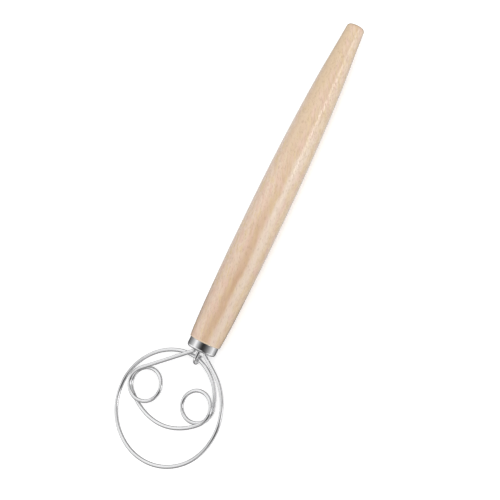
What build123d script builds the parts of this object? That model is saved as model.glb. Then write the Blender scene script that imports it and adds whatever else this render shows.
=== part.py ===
from build123d import *
import math
import os

# Dough whisk, in millimetres. A turned wooden handle ends in a steel ferrule cup, and one
# round wire makes the whole head: out of the left hole, round the left eye, along the smile,
# round the right eye, up to the top of the big loop, once round it and into the right hole.
# A short hooked wire out of the middle hole holds the top of the loop.
#
# The pieces are drawn in the tool's own frame: the origin is the middle of the ferrule's end
# face, +X runs up the handle's axis to the butt, the head lies in the XY plane towards -X,
# +Y is the left and +Z the front of the head. The last step sets the tool on a table top.

# Handle: the wood that shows between the ferrule and the butt
handle_length = 245.5
belly_diameter = 26.8
butt_diameter = 12.9
shoulder_diameter = 22.9
butt_round = 2.6
shoulder_round = 0.5
# Places along the handle from the butt, as shares of its length, and the outline's height
# above the axis there, as shares of the belly's
outline_shares = (
    (0.050, 0.545),
    (0.137, 0.683),
    (0.280, 0.846),
    (0.480, 0.970),
    (0.655, 1.000),
    (0.760, 0.995),
    (0.840, 0.970),
    (0.938, 0.920),
)

# Spigot and blind bore at the handle's lower end; the bore holds adhesive round the tails
spigot_chamfer = 0.7
bore_diameter = 13.6
bore_depth = 38.0
bore_point_angle = 118.0
tail_cover = 4.0

# Ferrule cup on the spigot
ferrule_diameter = 21.4
ferrule_length = 7.1
ferrule_wall = 0.8
ferrule_edge_round = 1.8
ferrule_mouth_round = 0.25
glue_gap = 0.05
hole_clearance = 0.15

# Wire, and the room between two layers where it lies over itself
wire_diameter = 2.7
layer_gap = 0.7
# Both ends bend as they leave the handle; the corners of these bends lie a drop before the face
exit_bend_radius = 3.0
corner_drop = 1.5

# Head: drops are measured from the ferrule's end face along the axis, offsets sideways from
# the axis, and heights towards the front
left_tail_offset = 3.85
left_tail_height = 1.3
right_tail_offset = 4.7
right_tail_height = 0.6
loop_radius = 40.95
loop_top_drop = 5.05
loop_offset = 4.0
arch_height = -2.15
# Each eye lies a gap inside the side of the loop and a lift above its middle
left_eye_radius = 12.05
left_eye_gap = 5.55
left_eye_lift = 6.7
right_eye_radius = 11.25
right_eye_gap = 10.25
right_eye_lift = 10.3
smile_radius = 42.45
# The wire comes into the right eye and leaves it again on wider arcs, which touch its circle
# at these angles, counter-clockwise from the direction of the handle
right_eye_entry_radius = 12.45
right_eye_entry_angle = 323.5
right_eye_leaving_radius = 12.1
right_eye_leaving_angle = 199.5
# The inner right strand bends into a tighter arch at one angle of the arch, the arch passes
# into the loop at an angle of the loop, and the loop passes into its wider shoulder on the
# right, before the right hole, at another
strand_end_angle = 339.0
arch_radius = 32.6
arch_end_angle = 16.25
shoulder_angle = 256.5
shoulder_radius = 42.95

# Hook round the top of the loop, a little to the left of the axis
hook_diameter = 2.7
hook_offset = 0.5
hook_play = 0.5
hook_tip_length = 2.6
hook_tip_chamfer = 0.3

# Longest arc of the wire that is swept in one piece, and the stretches of the wire's plan at
# each of its ends: a tail, a bend and a straight
longest_turn = 90.0
stretches_per_end = 3
# Spacing of the points on which the gaps are measured
sample_spacing = 0.5

wire_radius = wire_diameter / 2
hook_radius = hook_diameter / 2
layer_step = wire_diameter + layer_gap
tail_end = bore_depth - tail_cover
butt_place = ferrule_length + handle_length
FROM_BASE = (Align.CENTER, Align.CENTER, Align.MIN)


def heading(angle):
    """Unit vector in the XY plane at an angle in degrees, counter-clockwise from +X."""
    return Vector(math.cos(math.radians(angle)), math.sin(math.radians(angle)), 0)


def angle_of(vector):
    """Angle of a vector in the XY plane, in degrees."""
    return math.degrees(math.atan2(vector.Y, vector.X))


class Ring:
    """A circle in the head's plane that the wire follows."""

    def __init__(self, centre, radius):
        self.centre = centre
        self.radius = radius

    def point(self, angle):
        return self.centre + heading(angle) * self.radius

    def touching_at(self, radius, angle):
        """A ring of another radius that touches this one at an angle, one inside the other."""
        return Ring(self.centre + heading(angle) * (self.radius - radius), radius)

    def touching_two(self, other, radius):
        """The ring of a radius that touches this one and another, nested, nearest the handle."""
        reach = abs(radius - self.radius)
        other_reach = abs(radius - other.radius)
        apart = other.centre - self.centre
        along = (reach**2 - other_reach**2 + apart.length**2) / (2 * apart.length)
        across = math.sqrt(reach**2 - along**2)
        direction = apart.normalized()
        square = Vector(-direction.Y, direction.X, 0)
        middle = self.centre + direction * along
        centres = (middle + square * across, middle - square * across)
        return Ring(max(centres, key=lambda centre: centre.X), radius)

    def touching_inside(self, angle, other):
        """The ring that touches this one from inside at an angle, and goes round another."""
        touch = self.point(angle)
        outwards = heading(angle)
        apart = touch - other.centre
        room = apart.dot(outwards) - other.radius
        radius = (apart.dot(apart) - other.radius**2) / (2 * room)
        return Ring(touch - outwards * radius, radius)


class Stretch:
    """A part of the wire's plan, straight or an arc, with its height at both ends."""

    def __init__(self, start_height, end_height):
        self.start_height = start_height
        self.end_height = end_height

    def slope(self):
        return (self.end_height - self.start_height) / self.length()

    def height(self, share):
        return self.start_height + (self.end_height - self.start_height) * share


class Straight(Stretch):
    def __init__(self, start, end, start_height, end_height):
        super().__init__(start_height, end_height)
        self.start = start
        self.end = end

    def length(self):
        return (self.end - self.start).length

    def pieces(self):
        return 1

    def place(self, share):
        direction = (self.end - self.start).normalized()
        return self.start + (self.end - self.start) * share, direction


class Turn(Stretch):
    """An arc of a ring; a positive turn is counter-clockwise seen from the front."""

    def __init__(self, ring, start_angle, turn, start_height, end_height):
        super().__init__(start_height, end_height)
        self.ring = ring
        self.start_angle = start_angle
        self.turn = turn

    def length(self):
        return self.ring.radius * math.radians(abs(self.turn))

    def pieces(self):
        return math.ceil(abs(self.turn) / longest_turn)

    def place(self, share):
        angle = self.start_angle + self.turn * share
        return self.ring.point(angle), heading(angle + math.copysign(90, self.turn))


def onward(start_angle, end_angle):
    """Counter-clockwise turn from one angle to another, under a whole turn."""
    return (end_angle - start_angle) % 360


def head_rings():
    """The rings of the head, in the order in which the wire follows them."""
    loop_drop = loop_top_drop + loop_radius
    loop = Ring(Vector(-loop_drop, loop_offset, 0), loop_radius)
    left_eye_place = loop_offset + loop_radius - left_eye_gap - left_eye_radius
    left_eye = Ring(Vector(left_eye_lift - loop_drop, left_eye_place, 0), left_eye_radius)
    right_eye_place = loop_offset - loop_radius + right_eye_gap + right_eye_radius
    right_eye = Ring(Vector(right_eye_lift - loop_drop, right_eye_place, 0), right_eye_radius)
    entry = right_eye.touching_at(right_eye_entry_radius, right_eye_entry_angle)
    leaving = right_eye.touching_at(right_eye_leaving_radius, right_eye_leaving_angle)
    smile = left_eye.touching_two(entry, smile_radius)
    arch = loop.touching_at(arch_radius, arch_end_angle)
    strand = arch.touching_inside(strand_end_angle, leaving)
    shoulder = loop.touching_at(shoulder_radius, shoulder_angle)
    return left_eye, smile, entry, right_eye, leaving, strand, arch, loop, shoulder


def head_stretches():
    """The wire's plan and heights from the left hole to the right hole."""
    left_eye, smile, entry, right_eye, leaving, strand, arch, loop, shoulder = head_rings()
    left_corner = Vector(-corner_drop, left_tail_offset, 0)
    right_corner = Vector(-corner_drop, -right_tail_offset, 0)

    # Each straight runs from the corner of its bend to the far side of a ring
    apart = left_eye.centre - left_corner
    lean = math.degrees(math.asin(left_eye.radius / apart.length))
    left_heading = (angle_of(apart) - lean) % 360
    apart = right_corner - shoulder.centre
    lean = math.degrees(math.asin(shoulder.radius / apart.length))
    right_heading = (angle_of(apart) + lean) % 360
    left_reach = exit_bend_radius * math.tan(math.radians(180 - left_heading) / 2)
    right_reach = exit_bend_radius * math.tan(math.radians(right_heading) / 2)
    left_bend = Ring(left_corner + Vector(left_reach, exit_bend_radius, 0), exit_bend_radius)
    right_bend = Ring(right_corner + Vector(right_reach, -exit_bend_radius, 0), exit_bend_radius)

    eye_start = left_heading - 90
    smile_start = angle_of(left_eye.centre - smile.centre)
    smile_end = angle_of(entry.centre - smile.centre)
    strand_start = angle_of(leaving.centre - strand.centre)
    strand_turn = onward(strand_start, strand_end_angle)
    arch_turn = onward(strand_end_angle, arch_end_angle)
    loop_turn = onward(arch_end_angle, shoulder_angle)
    shoulder_end = right_heading - 90
    shoulder_turn = onward(shoulder_angle, shoulder_end)

    left_turn = onward(eye_start, smile_start) + 360
    entry_turn = onward(smile_end, right_eye_entry_angle)
    right_turn = onward(right_eye_entry_angle, right_eye_leaving_angle)
    leaving_turn = onward(right_eye_leaving_angle, strand_start)
    # The wire sinks one layer backwards with each whole turn round an eye
    left_front = layer_step * left_turn / 720
    whole_turn = entry_turn + right_turn + leaving_turn
    right_front = layer_step * whole_turn / 720
    after_entry = right_front - layer_step * entry_turn / 360
    before_leaving = layer_step * leaving_turn / 360 - right_front
    # From the eye the wire sinks evenly to the arch's height at the top of the loop
    strand_length = strand.radius * strand_turn
    arch_share = arch.radius * arch_turn / (strand_length + arch.radius * arch_turn)
    after_strand = arch_height - (arch_height + right_front) * arch_share

    left_tail = Vector(tail_end, left_tail_offset, 0)
    right_tail = Vector(tail_end, -right_tail_offset, 0)
    left = left_tail_height
    right = right_tail_height
    left_bend_end = left_bend.point(left_heading + 90)
    right_bend_start = right_bend.point(right_heading + 90)
    return [
        Straight(left_tail, left_bend.point(270), left, left),
        Turn(left_bend, 270, left_heading - 180, left, left),
        Straight(left_bend_end, left_eye.point(eye_start), left, left_front),
        Turn(left_eye, eye_start, left_turn, left_front, -left_front),
        Turn(smile, smile_start, onward(smile_start, smile_end), -left_front, right_front),
        Turn(entry, smile_end, entry_turn, right_front, after_entry),
        Turn(right_eye, right_eye_entry_angle, right_turn, after_entry, before_leaving),
        Turn(leaving, right_eye_leaving_angle, leaving_turn, before_leaving, -right_front),
        Turn(strand, strand_start, strand_turn, -right_front, after_strand),
        Turn(arch, strand_end_angle, arch_turn, after_strand, arch_height),
        Turn(loop, arch_end_angle, loop_turn, arch_height, right),
        Turn(shoulder, shoulder_angle, shoulder_turn, right, right),
        Straight(shoulder.point(shoulder_end), right_bend_start, right, right),
        Turn(right_bend, right_heading + 90, -right_heading, right, right),
        Straight(right_bend.point(90), right_tail, right, right),
    ]


def arch_place():
    """Distance from the ferrule to the middle of the wire that the hook goes round."""
    arch = head_rings()[6]
    across = hook_offset - arch.centre.Y
    return -arch.centre.X - math.sqrt(arch.radius**2 - across**2)


def stations(stretches):
    """Points and directions in space along the wire, at the ends of each stretch and of its
    quarter turns. A straight keeps its own slope at both ends; where two arcs meet, the wire
    has the slope of the tighter one."""
    places = []
    for index, stretch in enumerate(stretches):
        for step in range(stretch.pieces()):
            share = step / stretch.pieces()
            point, direction = stretch.place(share)
            slope = stretch.slope()
            if step == 0 and index > 0:
                before = stretches[index - 1]
                slope = joint_slope(before, stretch)
            places.append(raised(point, direction, stretch.height(share), slope))
    last = stretches[-1]
    point, direction = last.place(1)
    places.append(raised(point, direction, last.height(1), last.slope()))
    return places


def joint_slope(before, after):
    """Slope of the wire where one stretch passes into the next."""
    if isinstance(before, Straight):
        return before.slope()
    if isinstance(after, Straight):
        return after.slope()
    tighter = min(before, after, key=lambda stretch: stretch.ring.radius)
    return tighter.slope()


def raised(point, direction, height, slope):
    """A place of the plan at its height, and its direction leaned by its slope."""
    return point + Vector(0, 0, height), (direction + Vector(0, 0, slope)).normalized()


def joined_by_arcs(start, end):
    """One line or two arcs that leave one station and reach the next in its direction."""
    point_a, direction_a = start
    point_b, direction_b = end
    apart = point_b - point_a
    straight_share = 0.999999
    if apart.normalized().dot(direction_a) > straight_share:
        return [Line(point_a, point_b)]
    opening = 1 - direction_a.dot(direction_b)
    lean = apart.dot(direction_a + direction_b)
    reach = (math.sqrt(lean**2 + 2 * opening * apart.dot(apart)) - lean) / (2 * opening)
    corner_a = point_a + direction_a * reach
    corner_b = point_b - direction_b * reach
    middle = (corner_a + corner_b) / 2
    return [
        TangentArc(point_a, middle, tangent=direction_a),
        TangentArc(middle, point_b, tangent=corner_b - corner_a),
    ]


def path_along(stretches):
    """The wire's middle line along some stretches of its plan."""
    edges = []
    places = stations(stretches)
    for start, end in zip(places, places[1:]):
        edges.extend(joined_by_arcs(start, end))
    return edges


def hook_path():
    """The middle line of the hook, from its tail round the top of the loop to its tip."""
    bend = wire_radius + hook_play + hook_radius
    place = -arch_place()
    front = arch_height + bend
    back = arch_height - bend
    over = Vector(place, hook_offset, front)
    round_end = Vector(place - bend, hook_offset, arch_height)
    under = Vector(place, hook_offset, back)
    shank = Line(Vector(tail_end, hook_offset, front), over)
    turn = ThreePointArc(over, round_end, under)
    tip = Line(under, under + Vector(hook_tip_length, 0, 0))
    return [shank, turn, tip]


def tube(edges, radius):
    """A round wire along a path."""
    path = Wire(edges)
    section = Plane(origin=path @ 0, z_dir=path % 0) * Circle(radius)
    return sweep(section, path=path)


def samples(edges):
    """Points along a path, each with its distance from the start."""
    points = []
    travelled = 0.0
    for edge in edges:
        count = math.ceil(edge.length / sample_spacing)
        for step in range(count):
            point = edge @ (step / count)
            points.append((travelled + edge.length * step / count, point.X, point.Y, point.Z))
        travelled += edge.length
    return points


def least_distance(points, others, apart):
    """Least distance between two sets of samples that lie apart along their path."""
    least = math.inf
    for place, x, y, z in points:
        for other_place, other_x, other_y, other_z in others:
            if abs(other_place - place) >= apart:
                distance = (x - other_x) ** 2 + (y - other_y) ** 2 + (z - other_z) ** 2
                least = min(least, distance)
    return math.sqrt(least)


def handle_outline():
    """The curve of the turned wood from the butt to the ferrule's shoulder."""
    points = [(butt_place, butt_diameter / 2)]
    for along, height in outline_shares:
        points.append((butt_place - handle_length * along, belly_diameter / 2 * height))
    points.append((ferrule_length, shoulder_diameter / 2))
    return Spline([(x, 0, z) for x, z in points])


def bore_cutter(start):
    """The bore's shape with its drilled point, from a place on the axis to its depth."""
    radius = bore_diameter / 2
    point_length = radius / math.tan(math.radians(bore_point_angle / 2))
    side = bore_depth - point_length
    outline = Polyline(
        (start, 0, 0),
        (start, 0, radius),
        (side, 0, radius),
        (bore_depth, 0, 0),
        close=True,
    )
    return revolve(make_face(outline), axis=Axis.X)


def edges_at(solid, place):
    """The edges of a solid that lie in one plane square to the handle's axis."""
    return solid.edges().filter_by_position(Axis.X, place - glue_gap / 2, place + glue_gap / 2)


def handle():
    """Turned wooden handle with its spigot and its bore."""
    outline = handle_outline()
    spigot_radius = ferrule_diameter / 2 - ferrule_wall - glue_gap
    spigot_end = ferrule_wall + glue_gap
    rest = Polyline(
        (ferrule_length, 0, shoulder_diameter / 2),
        (ferrule_length, 0, spigot_radius),
        (spigot_end, 0, spigot_radius),
        (spigot_end, 0, 0),
        (butt_place, 0, 0),
        (butt_place, 0, butt_diameter / 2),
    )
    body = revolve(make_face([outline, *rest.edges()]), axis=Axis.X)
    body = fillet(edges_at(body, butt_place), butt_round)
    shoulder = edges_at(body, ferrule_length).sort_by(SortBy.RADIUS)[-1]
    body = fillet(shoulder, shoulder_round)
    body = chamfer(edges_at(body, spigot_end), spigot_chamfer)
    return body - bore_cutter(0)


def wires_at_ferrule(clearance):
    """The three wires where they pass the ferrule, each with its tail, bend and straight, and
    with a clearance round it."""
    stretches = head_stretches()
    left_end = tube(path_along(stretches[:stretches_per_end]), wire_radius + clearance)
    right_end = tube(path_along(stretches[-stretches_per_end:]), wire_radius + clearance)
    shank = tube(hook_path()[:1], hook_radius + clearance)
    return [left_end, right_end, shank]


def ferrule():
    """Drawn steel cup with a rounded rim and three punched holes."""
    outer = ferrule_diameter / 2
    inner = outer - ferrule_wall
    along = Plane(origin=(0, 0, 0), x_dir=(0, 1, 0), z_dir=(1, 0, 0))
    shell = along * Cylinder(outer, ferrule_length, align=FROM_BASE)
    shell = fillet(edges_at(shell, 0), ferrule_edge_round)
    hollow = along * Cylinder(inner, ferrule_length, align=FROM_BASE)
    hollow = fillet(edges_at(hollow, 0), ferrule_edge_round - ferrule_wall)
    cup = shell - Pos(ferrule_wall, 0, 0) * hollow
    cup = fillet(edges_at(cup, ferrule_length), ferrule_mouth_round)
    for wire in wires_at_ferrule(hole_clearance):
        cup -= wire
    return cup


def adhesive_plug():
    """Cured adhesive that fills the bore round the three tails."""
    plug = bore_cutter(ferrule_wall)
    for wire in wires_at_ferrule(0):
        plug -= wire
    return plug


def main():
    wire_edges = path_along(head_stretches())
    hook_edges = hook_path()
    wire_points = samples(wire_edges)
    hook_points = samples(hook_edges)

    half_turn = math.pi * right_eye_radius
    self_gap = least_distance(wire_points, wire_points, half_turn) - wire_diameter
    hook_gap = least_distance(wire_points, hook_points, 0) - wire_radius - hook_radius
    wire_length = sum(edge.length for edge in wire_edges)
    print(f"wire length {wire_length:.1f}, least gap to itself {self_gap:.2f}")
    print(f"least gap between wire and hook {hook_gap:.2f}")

    whisk_wire = tube(wire_edges, wire_radius)
    section_times_length = math.pi * wire_radius**2 * wire_length
    print(f"wire volume {whisk_wire.volume:.1f}, section times length {section_times_length:.1f}")
    retaining_hook = tube(hook_edges, hook_radius)
    tip_place = hook_tip_length - arch_place()
    retaining_hook = chamfer(edges_at(retaining_hook, tip_place), hook_tip_chamfer)

    nodes = {
        "handle": handle(),
        "ferrule": ferrule(),
        "whisk_wire": whisk_wire,
        "retaining_hook": retaining_hook,
        "adhesive_plug": adhesive_plug(),
    }

    # The tool lies on a table top, with its box's middle over the origin
    box = Compound(list(nodes.values())).bounding_box()
    place = Pos(-box.center().X, -box.center().Y, -box.min.Z)
    print(f"size {box.size}, butt face at {(place * Pos(butt_place, 0, 0)).position}")

    os.makedirs("parts", exist_ok=True)
    for name, node in nodes.items():
        export_step(place * node, f"parts/{name}.step")


main()
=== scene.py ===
import math

import bpy
from mathutils import Matrix, Vector


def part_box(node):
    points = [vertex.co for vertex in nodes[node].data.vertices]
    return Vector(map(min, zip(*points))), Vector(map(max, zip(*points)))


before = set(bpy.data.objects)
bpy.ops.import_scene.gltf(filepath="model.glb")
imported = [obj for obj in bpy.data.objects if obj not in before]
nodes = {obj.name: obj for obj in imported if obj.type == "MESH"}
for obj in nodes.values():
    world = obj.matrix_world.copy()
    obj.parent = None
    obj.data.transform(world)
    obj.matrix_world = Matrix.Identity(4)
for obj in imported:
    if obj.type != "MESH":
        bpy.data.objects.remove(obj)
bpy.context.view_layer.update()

# Lengths are in metres. The tool lies on a table top: +X runs up the handle to the butt, +Z is
# the front of the head and +Y its left. Places on the tool count from its origin, the point of
# the handle's axis in the ferrule's lower face.
FERRULE_LOW, FERRULE_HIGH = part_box("ferrule")
FERRULE_MIDDLE = (FERRULE_LOW + FERRULE_HIGH) / 2
FERRULE_LENGTH = FERRULE_HIGH.x - FERRULE_LOW.x
HANDLE_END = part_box("handle")[1].x - FERRULE_LOW.x
ORIGIN = Vector((FERRULE_LOW.x, FERRULE_MIDDLE.y, FERRULE_MIDDLE.z))

# Camera: over the front of the head, turned round the handle's axis so that the right side is
# nearer, and rolled so that the butt points to the upper right of the picture. It aims at a
# place up the handle, and is then shifted a little in its own picture.
AIM_PLACE = 0.07835
CAMERA_TURN = math.radians(23.45)
CAMERA_ROLL = math.radians(25.677)
CAMERA_DISTANCE = 0.7685
CAMERA_SHIFT_RIGHT = 0.000706
CAMERA_SHIFT_UP = 0.000258
CAMERA_LENS = 78.89
SENSOR_WIDTH = 36.0
TOWARDS_CAMERA = Vector((0, -math.sin(CAMERA_TURN), math.cos(CAMERA_TURN)))
TO_THE_RIGHT = Vector((0, -math.cos(CAMERA_TURN), -math.sin(CAMERA_TURN)))
UP_THE_HANDLE = Vector((1, 0, 0))

# Light: the world's strength for diffuse light, one soft lamp, and a white floor that glows a
# little for the camera
WORLD_LIGHT = 0.85
LAMP_ENERGY = 3.0
LAMP_SIZE = 0.7
LAMP_PLACE = (0.1, -0.4, 1.0)
FLOOR_HALF_SIZE = 3.0
FLOOR_COLOUR = (0.85, 0.85, 0.85)
FLOOR_ROUGHNESS = 0.9
FLOOR_GLOW = 0.35

# The tent that glossy rays meet instead of the white studio. Its angles go round the handle's
# axis from the camera, negative to the left. Its heights go up that axis: 0 is level and 1 is
# straight up the handle. First its walls: their brightness at angles in degrees.
WALLS = (
    (-180, 0.06), (-155, 0.14), (-133, 0.36), (-110, 0.75), (-88, 1.0), (-75, 1.0),
    (-5, 1.0), (3, 0.75), (9, 0.34), (16, 0.07), (40, 0.07), (50, 0.35), (61, 0.82),
    (72, 1.0), (88, 1.0), (110, 0.75), (133, 0.36), (155, 0.14), (180, 0.06),
)
# The walls near level, which the ferrule and the handle reflect
LEVEL_WALLS = (
    (-180, 0.05), (-150, 0.09), (-133, 0.15), (-103, 0.30), (-82, 0.55), (-66, 0.90),
    (-54, 1.0), (-4, 1.0), (4, 0.80), (12, 0.45), (20, 0.28), (40, 0.28), (52, 0.42),
    (63, 0.62), (78, 0.95), (88, 0.95), (103, 0.66), (118, 0.42), (133, 0.25), (150, 0.12),
    (180, 0.05),
)
LEVEL_MIDDLE = 0.05
LEVEL_HALF_HEIGHT = 0.165
LEVEL_FADE = 0.035
# Both ends fall to one brightness: the heights where that starts and where it is full
ENDS_LIGHT = 0.28
UPPER_END = (0.72, 1.0)
LOWER_END = (-0.55, -0.85)
# A dark opening for the camera, a little below level: the most that the tent may be there, from
# the opening's centre out, at shares of its half widths
OPENING = (
    (0, 0.01), (0.22, 0.04), (0.44, 0.13), (0.67, 0.30), (0.93, 0.58), (1.2, 0.92), (1.33, 1.0),
)
OPENING_LEFT = math.radians(46)
OPENING_RIGHT = math.radians(75)
OPENING_MIDDLE = -0.13
OPENING_HALF_HEIGHT = 0.32
# A light backdrop behind the handle, so that the edges of the wood stay light
BACKDROP_LIGHT = 0.65
BACKDROP_START = math.radians(105)
BACKDROP_FULL = math.radians(128)
BACKDROP_MIDDLE = 0.105
BACKDROP_HALF_HEIGHT = 0.145
BACKDROP_FADE = 0.025
# A strip lamp at the front right, whose reflection is the highlight on the upper handle
STRIP_LIGHT = 2.2
STRIP_ANGLE = math.radians(42)
STRIP_HALF_WIDTH = math.radians(5.5)
STRIP_SIDE_FADE = math.radians(5.5)
STRIP_MIDDLE = 0.26
STRIP_HALF_HEIGHT = 0.14
STRIP_FADE = 0.07

# The colours of the wood, with a painted highlight and a painted shade among them
WOOD_PALE = (0.83, 0.66, 0.50)
WOOD_TAN = (0.67, 0.455, 0.29)
WOOD_PINK = (0.82, 0.59, 0.465)
WOOD_YELLOW = (0.79, 0.61, 0.375)
# Painted highlight: the pale colour of a broad gloss streak on the handle
PAINTED_HIGHLIGHT_COLOUR = (0.91, 0.80, 0.69)
WOOD_PORE = (0.42, 0.26, 0.16)
WOOD_HEART = (0.62, 0.39, 0.235)
WOOD_HEART_EDGE = (0.68, 0.465, 0.30)
# Painted shade: the darker colour laid on the left of the upper handle
PAINTED_SHADE_COLOUR = (0.70, 0.52, 0.325)
WOOD_EDGE = (0.84, 0.67, 0.48)
WOOD_DEEPER = (0.905, 0.87, 0.845)
# Bands of colour that run through the wood side by side: places to the right of the axis, and
# how far a band wanders over the range of the warp pattern
WOOD_BANDS_AND_EDGE_LIGHT = (
    # The first and last bands are painted light: lighter at the handle's sides, against their
    # shade
    (-0.0125, (0.90, 0.735, 0.63)),
    (-0.0084, (0.84, 0.67, 0.55)),
    (-0.0056, (0.84, 0.66, 0.525)),
    (-0.0022, (0.76, 0.565, 0.40)),
    (0.0004, (0.755, 0.55, 0.385)),
    (0.0030, (0.84, 0.66, 0.49)),
    (0.0060, (0.83, 0.665, 0.515)),
    (0.0085, (0.83, 0.67, 0.48)),
    (0.0125, (0.895, 0.70, 0.46)),
)
BAND_WANDER = 0.006
# The grain leans across the handle: its mean slope from the origin to a place near it, and what
# that gains per metre up the handle
GRAIN_SLOPE = 0.22
GRAIN_SLOPE_GAIN = 0.7
# Patterns in the grain: the noise's cells per metre along and across, its detail, roughness and
# distortion. Their values lie on both sides of one middle.
WOOD_PATTERNS = {
    "warp": (22, 70, 2, 0.5, 0),
    "zones": (17, 130, 2, 0.5, 0.6),
    "tints": (110, 330, 2, 0.5, 0),
    "streaks": (70, 650, 4, 0.6, 0),
    "fibres": (170, 2600, 2, 0.6, 0),
    "pores": (420, 1900, 1, 0.5, 0),
}
NOISE_MIDDLE = 0.5
# Tints laid over one another: the pattern, its values where the tint starts and is full, the
# tint's full share and its colour
WOOD_TINTS = (
    ("streaks", 0.40, 0.60, 0.42, WOOD_PALE),
    ("streaks", 0.50, 0.34, 0.50, WOOD_TAN),
    ("zones", 0.50, 0.68, 0.35, WOOD_TAN),
    ("tints", 0.51, 0.64, 0.90, WOOD_PINK),
    ("tints", 0.48, 0.35, 0.85, WOOD_YELLOW),
)
# Growth rings round a pith that lies behind the handle and to the left. Each ring is one wave,
# whose phase the warp pattern shifts, and its dark line starts at a value of the wave's sine.
PITH_RIGHT = -0.011
PITH_FRONT = -0.034
RING_SPACING = 0.0031
RING_WARP = 13
RING_LINE_START = -0.2
RING_SHARE = 0.16
# Streaks of their own colour: across the handle a middle, a half width and a fade, and up the
# handle where they start and are full, or for a patch again a middle, a half width and a fade.
# First painted highlight: a pale streak right of the middle, but not near the butt.
PAINTED_HIGHLIGHT_ACROSS = (0.0057, 0.0008, 0.0032)
PAINTED_HIGHLIGHT_ALONG = (0.185, 0.145)
PAINTED_HIGHLIGHT_SHARE = 0.55
# A darker heart streak down the middle of the lower half, darkest in one patch
HEART_ACROSS = (-0.0004, 0.0006, 0.0030)
HEART_ALONG = (0.135, 0.095)
HEART_SHARE = 0.55
PATCH_ACROSS = (0.0006, 0.0004, 0.0022)
PATCH_ALONG = (0.0545, 0.006, 0.010)
PATCH_SHARE = 0.5
# Painted shade: a darker warm streak left of the middle in the upper half, stronger up the handle
PAINTED_SHADE_ACROSS = (-0.0058, 0.0018, 0.0036)
PAINTED_SHADE_ALONG = (0.12, 0.16)
PAINTED_SHADE_GAIN_ALONG = (0.15, 0.22)
PAINTED_SHADE_SHARES = (0.55, 0.85)
# Fibres and pores: their pattern's values where each starts and is full, and its full share
FIBRE_RANGE = (0.35, 0.7)
FIBRE_SHARE = 0.16
PORE_RANGE = (0.59, 0.69)
PORE_SHARE = 0.34
# The wood is deeper in colour towards the ferrule: places up the handle, and the shares there
DEEPER_ALONG = (0.19, 0.03)
DEEPER_SHARES = (0.25, 1.0)
# The paler edge by the ferrule and the browner band at the butt: how far from each it starts and
# is full
FERRULE_EDGE = (0.0012, 0.0004)
BUTT_EDGE = (0.0030, 0.0004)
EDGE_SHARE = 0.6
# The oiled finish, rougher on fibres and pores, and the relief of the grain
COAT_WEIGHT = 1.0
COAT_ROUGHNESS = 0.09
COAT_IOR = 1.62
WOOD_ROUGHNESS = 0.20
FIBRE_ROUGHNESS = 0.12
PORE_ROUGHNESS = 0.2
FIBRE_RELIEF = 0.6
STREAK_RELIEF = 0.8
WOOD_RELIEF = 0.00008

# Steel: for each piece a colour, a roughness, and the fine marks' cells per metre along and
# across the axis and their depth. The ferrule's marks run round it.
FERRULE_STEEL = ((0.93, 0.93, 0.94), 0.07, 9000, 500, 0.000003)
WIRE_STEEL = ((0.90, 0.90, 0.91), 0.09, 1500, 1500, 0.000002)
MARK_DETAIL = 3
MARK_NOISE_ROUGHNESS = 0.7
# Faint stains, which are worn too: cells per metre, and the values where each starts and is full
STAIN_SCALE = 160
STAIN_DETAIL = 3
STAIN_NOISE_ROUGHNESS = 0.55
STAIN_RANGE = (0.35, 0.75)
WEAR_RANGE = (0.4, 0.7)
# What they do: the dull steel's brightness, its shares on marks and stains, and the roughness
# that marks and wear add
DULL_STEEL = 0.86
MARK_SHARE = 0.10
STAIN_SHARE = 0.10
MARK_ROUGHNESS = 0.06
WEAR_ROUGHNESS = 0.05

# Adhesive: two amber colours in clouds, and bubbles
ADHESIVE_DARK = (0.50, 0.36, 0.17)
ADHESIVE_LIGHT = (0.70, 0.58, 0.36)
ADHESIVE_ROUGHNESSES = (0.25, 0.45)
CLOUD_SCALE = 700
CLOUD_DETAIL = 3
CLOUD_NOISE_ROUGHNESS = 0.5
CLOUD_RANGE = (0.3, 0.7)
BUBBLE_SCALE = 1400
BUBBLE_RANGE = (0.12, 0.3)
BUBBLE_DEPTH = 0.0001


def material(name):
    """A new node material with only its Principled shader and its output."""
    made = bpy.data.materials.new(name)
    made.use_nodes = True
    shader = made.node_tree.nodes["Principled BSDF"]
    return made, made.node_tree, shader


def dress(name, made):
    """Gives a carried-over CAD node a material."""
    mesh = nodes[name].data
    mesh.materials.clear()
    mesh.materials.append(made)


def feed(tree, value, socket):
    """Links a socket to an input, or sets the input to a number or colour."""
    if isinstance(value, bpy.types.NodeSocket):
        tree.links.new(value, socket)
    elif value is not None:
        socket.default_value = value


def math_node(tree, operation, first, second=None):
    """A Math node whose inputs are sockets or numbers; returns its output."""
    made = tree.nodes.new("ShaderNodeMath")
    made.operation = operation
    feed(tree, first, made.inputs[0])
    feed(tree, second, made.inputs[1])
    return made.outputs["Value"]


def product(tree, first, *others):
    """Values multiplied with one another."""
    for other in others:
        first = math_node(tree, "MULTIPLY", first, other)
    return first


def weighted_sum(tree, start, *terms):
    """A start value plus others, each times its own weight."""
    for value, weight in terms:
        start = math_node(tree, "ADD", product(tree, value, weight), start)
    return start


def diagonal(tree, first, second):
    """The length of two values at right angles to each other."""
    squares = math_node(tree, "ADD", product(tree, first, first), product(tree, second, second))
    return math_node(tree, "SQRT", squares)


def vector_node(tree, operation, first, second, output="Vector"):
    """A Vector Math node whose inputs are sockets or vectors; returns its output."""
    made = tree.nodes.new("ShaderNodeVectorMath")
    made.operation = operation
    feed(tree, first, made.inputs[0])
    feed(tree, second, made.inputs[1])
    return made.outputs[output]


def along_axes(tree, vector, axes):
    """How far a vector reaches along each of some axes."""
    return [vector_node(tree, "DOT_PRODUCT", vector, axis, "Value") for axis in axes]


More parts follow.
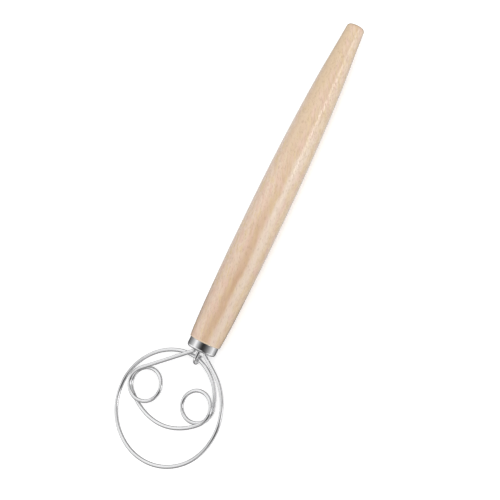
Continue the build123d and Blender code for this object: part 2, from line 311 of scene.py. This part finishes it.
def joined(tree, along, across, depth):
    """Three values as one vector."""
    made = tree.nodes.new("ShaderNodeCombineXYZ")
    for value, socket in zip((along, across, depth), made.inputs):
        feed(tree, value, socket)
    return made.outputs["Vector"]


def scaled(tree, place, along, across):
    """A place whose first axis is scaled by one factor and whose others by another."""
    return vector_node(tree, "MULTIPLY", place, (along, across, across))


def noise(tree, place, along, across, detail, roughness, distortion=0):
    """Noise, about 0 to 1, with so many cells per metre along the first axis and the others."""
    made = tree.nodes.new("ShaderNodeTexNoise")
    tree.links.new(scaled(tree, place, along, across), made.inputs["Vector"])
    made.inputs["Scale"].default_value = 1
    made.inputs["Detail"].default_value = detail
    made.inputs["Roughness"].default_value = roughness
    made.inputs["Distortion"].default_value = distortion
    return made.outputs["Fac"]


def spread(tree, value, low, high, to_low=0.0, to_high=1.0, smooth=True):
    """A value mapped from low and high to two others, and clamped there."""
    made = tree.nodes.new("ShaderNodeMapRange")
    made.interpolation_type = "SMOOTHSTEP" if smooth else "LINEAR"
    feed(tree, value, made.inputs["Value"])
    made.inputs["From Min"].default_value = low
    made.inputs["From Max"].default_value = high
    made.inputs["To Min"].default_value = to_low
    made.inputs["To Max"].default_value = to_high
    return made.outputs["Result"]


def between(tree, value, middle, half_width, fade):
    """1 near a middle value, falling to 0 over a fade outside the half width."""
    away = math_node(tree, "ABSOLUTE", math_node(tree, "SUBTRACT", value, middle))
    return spread(tree, away, half_width, half_width + fade, 1, 0)


def mixed(tree, share, first, second, blend="MIX"):
    """Two colours mixed by a share of the second."""
    made = tree.nodes.new("ShaderNodeMix")
    made.data_type = "RGBA"
    made.blend_type = blend
    # The colour sockets share their names with those of other kinds, and so go by number
    feed(tree, share, made.inputs[0])
    for value, socket in ((first, made.inputs[6]), (second, made.inputs[7])):
        feed(tree, value if isinstance(value, bpy.types.NodeSocket) else (*value, 1), socket)
    return made.outputs[2]


def ramp(tree, share, stops):
    """A Color Ramp over a share, with (place, colour) stops."""
    made = tree.nodes.new("ShaderNodeValToRGB")
    elements = made.color_ramp.elements
    # A new stop starts anywhere and gets its place below
    while len(elements) < len(stops):
        elements.new(0.5)
    for element, (place, colour) in zip(elements, stops):
        element.position = place
        element.color = (*colour, 1)
    tree.links.new(share, made.inputs["Fac"])
    return made.outputs["Color"]


def bump(tree, height, distance):
    """A normal that shows a height as relief of some depth."""
    made = tree.nodes.new("ShaderNodeBump")
    made.inputs["Distance"].default_value = distance
    tree.links.new(height, made.inputs["Height"])
    return made.outputs["Normal"]


def axis_places(tree):
    """Places on the tool from its origin: up the handle, to the right of the axis as the photo
    shows it, and towards the photo's camera."""
    place = tree.nodes.new("ShaderNodeTexCoord").outputs["Object"]
    local = vector_node(tree, "SUBTRACT", place, ORIGIN)
    return along_axes(tree, local, (UP_THE_HANDLE, TO_THE_RIGHT, TOWARDS_CAMERA))


def ring_lines(tree, slant, front, warp):
    """Growth rings: 1 on the dark line of each, falling to 0 between them."""
    from_pith = (
        math_node(tree, "SUBTRACT", slant, PITH_RIGHT),
        math_node(tree, "SUBTRACT", front, PITH_FRONT),
    )
    radius = diagonal(tree, *from_pith)
    shift = product(tree, warp, RING_WARP)
    phase = weighted_sum(tree, shift, (radius, math.tau / RING_SPACING))
    return spread(tree, math_node(tree, "SINE", phase), RING_LINE_START, 1.0)


def bands_and_edge_light(tree, banded):
    """The colour of the bands that run through the wood side by side, and the painted light at the
    sides.
    """
    low, high = WOOD_BANDS_AND_EDGE_LIGHT[0][0], WOOD_BANDS_AND_EDGE_LIGHT[-1][0]
    share = spread(tree, banded, low, high, smooth=False)
    stops = [((place - low) / (high - low), colour) for place, colour in WOOD_BANDS_AND_EDGE_LIGHT]
    return ramp(tree, share, stops)


def streaks_and_painted_light(tree, colour, banded, along):
    """A colour with heart streaks, a pale streak of painted highlight and one of painted shade."""
    painted_highlight = product(
        tree, between(tree, banded, *PAINTED_HIGHLIGHT_ACROSS), spread(tree, along, *PAINTED_HIGHLIGHT_ALONG), PAINTED_HIGHLIGHT_SHARE
    )
    heart = product(
        tree, between(tree, banded, *HEART_ACROSS), spread(tree, along, *HEART_ALONG), HEART_SHARE
    )
    painted_shade = product(
        tree,
        between(tree, banded, *PAINTED_SHADE_ACROSS),
        spread(tree, along, *PAINTED_SHADE_ALONG),
        spread(tree, along, *PAINTED_SHADE_GAIN_ALONG, *PAINTED_SHADE_SHARES),
    )
    patch = product(
        tree, between(tree, banded, *PATCH_ACROSS), between(tree, along, *PATCH_ALONG), PATCH_SHARE
    )
    colour = mixed(tree, painted_highlight, colour, PAINTED_HIGHLIGHT_COLOUR)
    colour = mixed(tree, heart, colour, WOOD_HEART_EDGE)
    colour = mixed(tree, painted_shade, colour, PAINTED_SHADE_COLOUR)
    return mixed(tree, patch, colour, WOOD_HEART)


def paler_and_browner_ends(tree, colour, along):
    """A colour that is paler at the edge by the ferrule and browner towards the butt's end."""
    near_ferrule = spread(tree, along, *(FERRULE_LENGTH + gap for gap in FERRULE_EDGE))
    near_butt = spread(tree, along, *(HANDLE_END - gap for gap in BUTT_EDGE))
    colour = mixed(tree, product(tree, near_ferrule, EDGE_SHARE), colour, WOOD_EDGE)
    return mixed(tree, product(tree, near_butt, EDGE_SHARE), colour, WOOD_TAN)


def wood():
    """Oiled pale hardwood with tan and pink streaks, faint rings, short pores and a satin film."""
    made, tree, shader = material("oiled_pale_hardwood")
    along, right, front = axis_places(tree)

    # The grain runs out of the turned surface, more so towards the butt
    slope = weighted_sum(tree, GRAIN_SLOPE, (along, GRAIN_SLOPE_GAIN))
    slant = math_node(tree, "ADD", right, product(tree, along, slope))
    grain = joined(tree, along, slant, front)
    patterns = {name: noise(tree, grain, *values) for name, values in WOOD_PATTERNS.items()}

    warp = patterns["warp"]
    wander = math_node(tree, "SUBTRACT", warp, NOISE_MIDDLE)
    banded = weighted_sum(tree, right, (wander, BAND_WANDER))
    colour = bands_and_edge_light(tree, banded)
    for name, start, full, share, tint in WOOD_TINTS:
        colour = mixed(tree, spread(tree, patterns[name], start, full, 0, share), colour, tint)
    rings = product(tree, ring_lines(tree, slant, front, warp), RING_SHARE)
    colour = mixed(tree, rings, colour, WOOD_TAN)
    colour = streaks_and_painted_light(tree, colour, banded, along)

    fibres, pores = patterns["fibres"], spread(tree, patterns["pores"], *PORE_RANGE)
    colour = mixed(tree, spread(tree, fibres, *FIBRE_RANGE, 0, FIBRE_SHARE), colour, WOOD_TAN)
    colour = mixed(tree, product(tree, pores, PORE_SHARE), colour, WOOD_PORE)
    deeper = spread(tree, along, *DEEPER_ALONG, *DEEPER_SHARES)
    colour = mixed(tree, deeper, colour, WOOD_DEEPER, "MULTIPLY")
    tree.links.new(paler_and_browner_ends(tree, colour, along), shader.inputs["Base Color"])

    shader.inputs["Coat Weight"].default_value = COAT_WEIGHT
    shader.inputs["Coat Roughness"].default_value = COAT_ROUGHNESS
    shader.inputs["Coat IOR"].default_value = COAT_IOR
    roughness = weighted_sum(
        tree, WOOD_ROUGHNESS, (fibres, FIBRE_ROUGHNESS), (pores, PORE_ROUGHNESS)
    )
    tree.links.new(roughness, shader.inputs["Roughness"])
    relief = math_node(tree, "SUBTRACT", product(tree, fibres, FIBRE_RELIEF), pores)
    relief = weighted_sum(tree, relief, (patterns["streaks"], STREAK_RELIEF))
    grain_normal = bump(tree, relief, WOOD_RELIEF)
    tree.links.new(grain_normal, shader.inputs["Normal"])
    tree.links.new(grain_normal, shader.inputs["Coat Normal"])
    return made


def steel(name, colour, roughness, marks_along, marks_across, mark_depth):
    """Polished stainless steel with fine marks, faint stains and handling wear."""
    made, tree, shader = material(name)
    place = joined(tree, *axis_places(tree))
    marks = noise(tree, place, marks_along, marks_across, MARK_DETAIL, MARK_NOISE_ROUGHNESS)
    stains = noise(tree, place, STAIN_SCALE, STAIN_SCALE, STAIN_DETAIL, STAIN_NOISE_ROUGHNESS)

    stained = product(tree, spread(tree, stains, *STAIN_RANGE), STAIN_SHARE)
    tone = weighted_sum(tree, stained, (marks, MARK_SHARE))
    dull = [channel * DULL_STEEL for channel in colour]
    tree.links.new(mixed(tree, tone, colour, dull), shader.inputs["Base Color"])
    shader.inputs["Metallic"].default_value = 1

    worn = spread(tree, stains, *WEAR_RANGE)
    gloss = weighted_sum(tree, roughness, (marks, MARK_ROUGHNESS), (worn, WEAR_ROUGHNESS))
    tree.links.new(gloss, shader.inputs["Roughness"])
    tree.links.new(bump(tree, marks, mark_depth), shader.inputs["Normal"])
    return made


def adhesive():
    """Cured amber adhesive with small bubbles."""
    made, tree, shader = material("cured_adhesive")
    place = joined(tree, *axis_places(tree))
    clouds = noise(tree, place, CLOUD_SCALE, CLOUD_SCALE, CLOUD_DETAIL, CLOUD_NOISE_ROUGHNESS)
    colour = mixed(tree, spread(tree, clouds, *CLOUD_RANGE), ADHESIVE_DARK, ADHESIVE_LIGHT)
    tree.links.new(colour, shader.inputs["Base Color"])
    roughness = spread(tree, clouds, *CLOUD_RANGE, *ADHESIVE_ROUGHNESSES)
    tree.links.new(roughness, shader.inputs["Roughness"])

    bubbles = tree.nodes.new("ShaderNodeTexVoronoi")
    bubble_place = scaled(tree, place, BUBBLE_SCALE, BUBBLE_SCALE)
    tree.links.new(bubble_place, bubbles.inputs["Vector"])
    bubbles.inputs["Scale"].default_value = 1
    height = spread(tree, bubbles.outputs["Distance"], *BUBBLE_RANGE)
    tree.links.new(bump(tree, height, BUBBLE_DEPTH), shader.inputs["Normal"])
    return made


def add_camera():
    """The photo's camera, as the values above place it."""
    camera = bpy.data.cameras.new("photo_camera")
    camera.lens = CAMERA_LENS
    camera.sensor_width = SENSOR_WIDTH
    holder = bpy.data.objects.new("photo_camera", camera)
    bpy.context.scene.collection.objects.link(holder)
    bpy.context.scene.camera = holder

    across, upright = math.cos(CAMERA_ROLL), math.sin(CAMERA_ROLL)
    right = TO_THE_RIGHT * across + UP_THE_HANDLE * upright
    up = UP_THE_HANDLE * across - TO_THE_RIGHT * upright
    aim = ORIGIN + UP_THE_HANDLE * AIM_PLACE
    shift = right * CAMERA_SHIFT_RIGHT + up * CAMERA_SHIFT_UP
    place = aim + TOWARDS_CAMERA * CAMERA_DISTANCE + shift
    turn = Matrix((right, up, TOWARDS_CAMERA)).transposed().to_4x4()
    holder.matrix_world = Matrix.Translation(place) @ turn


def add_floor():
    """A white table top that keeps the soft shadow of the tool."""
    size = FLOOR_HALF_SIZE
    corners = [(-size, -size, 0), (size, -size, 0), (size, size, 0), (-size, size, 0)]
    mesh = bpy.data.meshes.new("table_top")
    mesh.from_pydata(corners, [], [(0, 1, 2, 3)])
    floor = bpy.data.objects.new("table_top", mesh)
    bpy.context.scene.collection.objects.link(floor)
    made, tree, shader = material("white_table_top")
    shader.inputs["Base Color"].default_value = (*FLOOR_COLOUR, 1)
    shader.inputs["Roughness"].default_value = FLOOR_ROUGHNESS
    path = tree.nodes.new("ShaderNodeLightPath")
    glow = product(tree, path.outputs["Is Camera Ray"], FLOOR_GLOW)
    shader.inputs["Emission Color"].default_value = (1, 1, 1, 1)
    tree.links.new(glow, shader.inputs["Emission Strength"])
    mesh.materials.append(made)
    floor.visible_glossy = False


def grey(level):
    """The grey of some brightness."""
    return (level, level, level)


def tent_walls(tree, angle, height):
    """The tent's walls: brightness by angle, with walls of their own near level, and even ends."""
    # Places in a ramp are shares of a full turn, and the camera's angle is half-way
    turn = weighted_sum(tree, 0.5, (angle, 1 / math.tau))
    walls, level_walls = (
        ramp(tree, turn, [(0.5 + degrees / 360, grey(level)) for degrees, level in stops])
        for stops in (WALLS, LEVEL_WALLS)
    )
    near_level = between(tree, height, LEVEL_MIDDLE, LEVEL_HALF_HEIGHT, LEVEL_FADE)
    walls = mixed(tree, near_level, walls, level_walls)
    for start, full in (UPPER_END, LOWER_END):
        walls = mixed(tree, spread(tree, height, start, full), walls, grey(ENDS_LIGHT))
    return walls


def tent_opening(tree, angle, height):
    """The most that the tent may be: dark in the camera's opening and 1 outside it."""
    sideways = math_node(
        tree,
        "MAXIMUM",
        math_node(tree, "DIVIDE", angle, OPENING_RIGHT),
        math_node(tree, "DIVIDE", angle, -OPENING_LEFT),
    )
    upwards = math_node(tree, "SUBTRACT", height, OPENING_MIDDLE)
    upwards = math_node(tree, "DIVIDE", upwards, OPENING_HALF_HEIGHT)
    reach = OPENING[-1][0]
    outward = math_node(tree, "DIVIDE", diagonal(tree, sideways, upwards), reach)
    return ramp(tree, outward, [(place / reach, grey(level)) for place, level in OPENING])


def tent_backdrop(tree, angle, height):
    """The light backdrop behind the handle."""
    away = math_node(tree, "ABSOLUTE", angle)
    return product(
        tree,
        between(tree, height, BACKDROP_MIDDLE, BACKDROP_HALF_HEIGHT, BACKDROP_FADE),
        spread(tree, away, BACKDROP_START, BACKDROP_FULL, 0, BACKDROP_LIGHT),
    )


def tent_strip(tree, angle, height):
    """The strip lamp at the front right."""
    return product(
        tree,
        between(tree, angle, STRIP_ANGLE, STRIP_HALF_WIDTH, STRIP_SIDE_FADE),
        between(tree, height, STRIP_MIDDLE, STRIP_HALF_HEIGHT, STRIP_FADE),
        STRIP_LIGHT,
    )


def tent_light(tree):
    """The brightness that a glossy ray meets: walls with a dark opening for the camera, or the
    backdrop where that is lighter, and the strip lamp on top."""
    direction = tree.nodes.new("ShaderNodeTexCoord").outputs["Generated"]
    axes = (TOWARDS_CAMERA, TO_THE_RIGHT, UP_THE_HANDLE)
    front, side, height = along_axes(tree, direction, axes)
    angle = math_node(tree, "ARCTAN2", side, front)
    walls = tent_walls(tree, angle, height)
    tent = math_node(tree, "MINIMUM", walls, tent_opening(tree, angle, height))
    tent = math_node(tree, "MAXIMUM", tent, tent_backdrop(tree, angle, height))
    return math_node(tree, "ADD", tent, tent_strip(tree, angle, height))


def light():
    """A white studio for the camera, an even pale light, one soft lamp, and the tent for
    reflections."""
    world = bpy.data.worlds.new("studio")
    bpy.context.scene.world = world
    world.use_nodes = True
    tree = world.node_tree
    background = tree.nodes["Background"]
    background.inputs["Color"].default_value = (1, 1, 1, 1)
    path = tree.nodes.new("ShaderNodeLightPath")
    seen = math_node(tree, "MAXIMUM", path.outputs["Is Camera Ray"], WORLD_LIGHT)
    mix = tree.nodes.new("ShaderNodeMix")
    tree.links.new(path.outputs["Is Glossy Ray"], mix.inputs["Factor"])
    tree.links.new(seen, mix.inputs["A"])
    tree.links.new(tent_light(tree), mix.inputs["B"])
    tree.links.new(mix.outputs["Result"], background.inputs["Strength"])

    lamp = bpy.data.lights.new("soft_lamp", "AREA")
    lamp.shape = "DISK"
    lamp.size = LAMP_SIZE
    lamp.energy = LAMP_ENERGY
    holder = bpy.data.objects.new("soft_lamp", lamp)
    bpy.context.scene.collection.objects.link(holder)
    holder.location = LAMP_PLACE
    # The lamp aims at the world's origin, which the tool lies across
    holder.rotation_euler = (-Vector(LAMP_PLACE)).to_track_quat("-Z", "Y").to_euler()
    holder.visible_glossy = False
    bpy.context.scene.view_settings.view_transform = "Standard"


add_camera()
add_floor()
light()
dress("handle", wood())
dress("ferrule", steel("polished_ferrule_steel", *FERRULE_STEEL))
wire_steel = steel("polished_wire_steel", *WIRE_STEEL)
dress("whisk_wire", wire_steel)
dress("retaining_hook", wire_steel)
dress("adhesive_plug", adhesive())
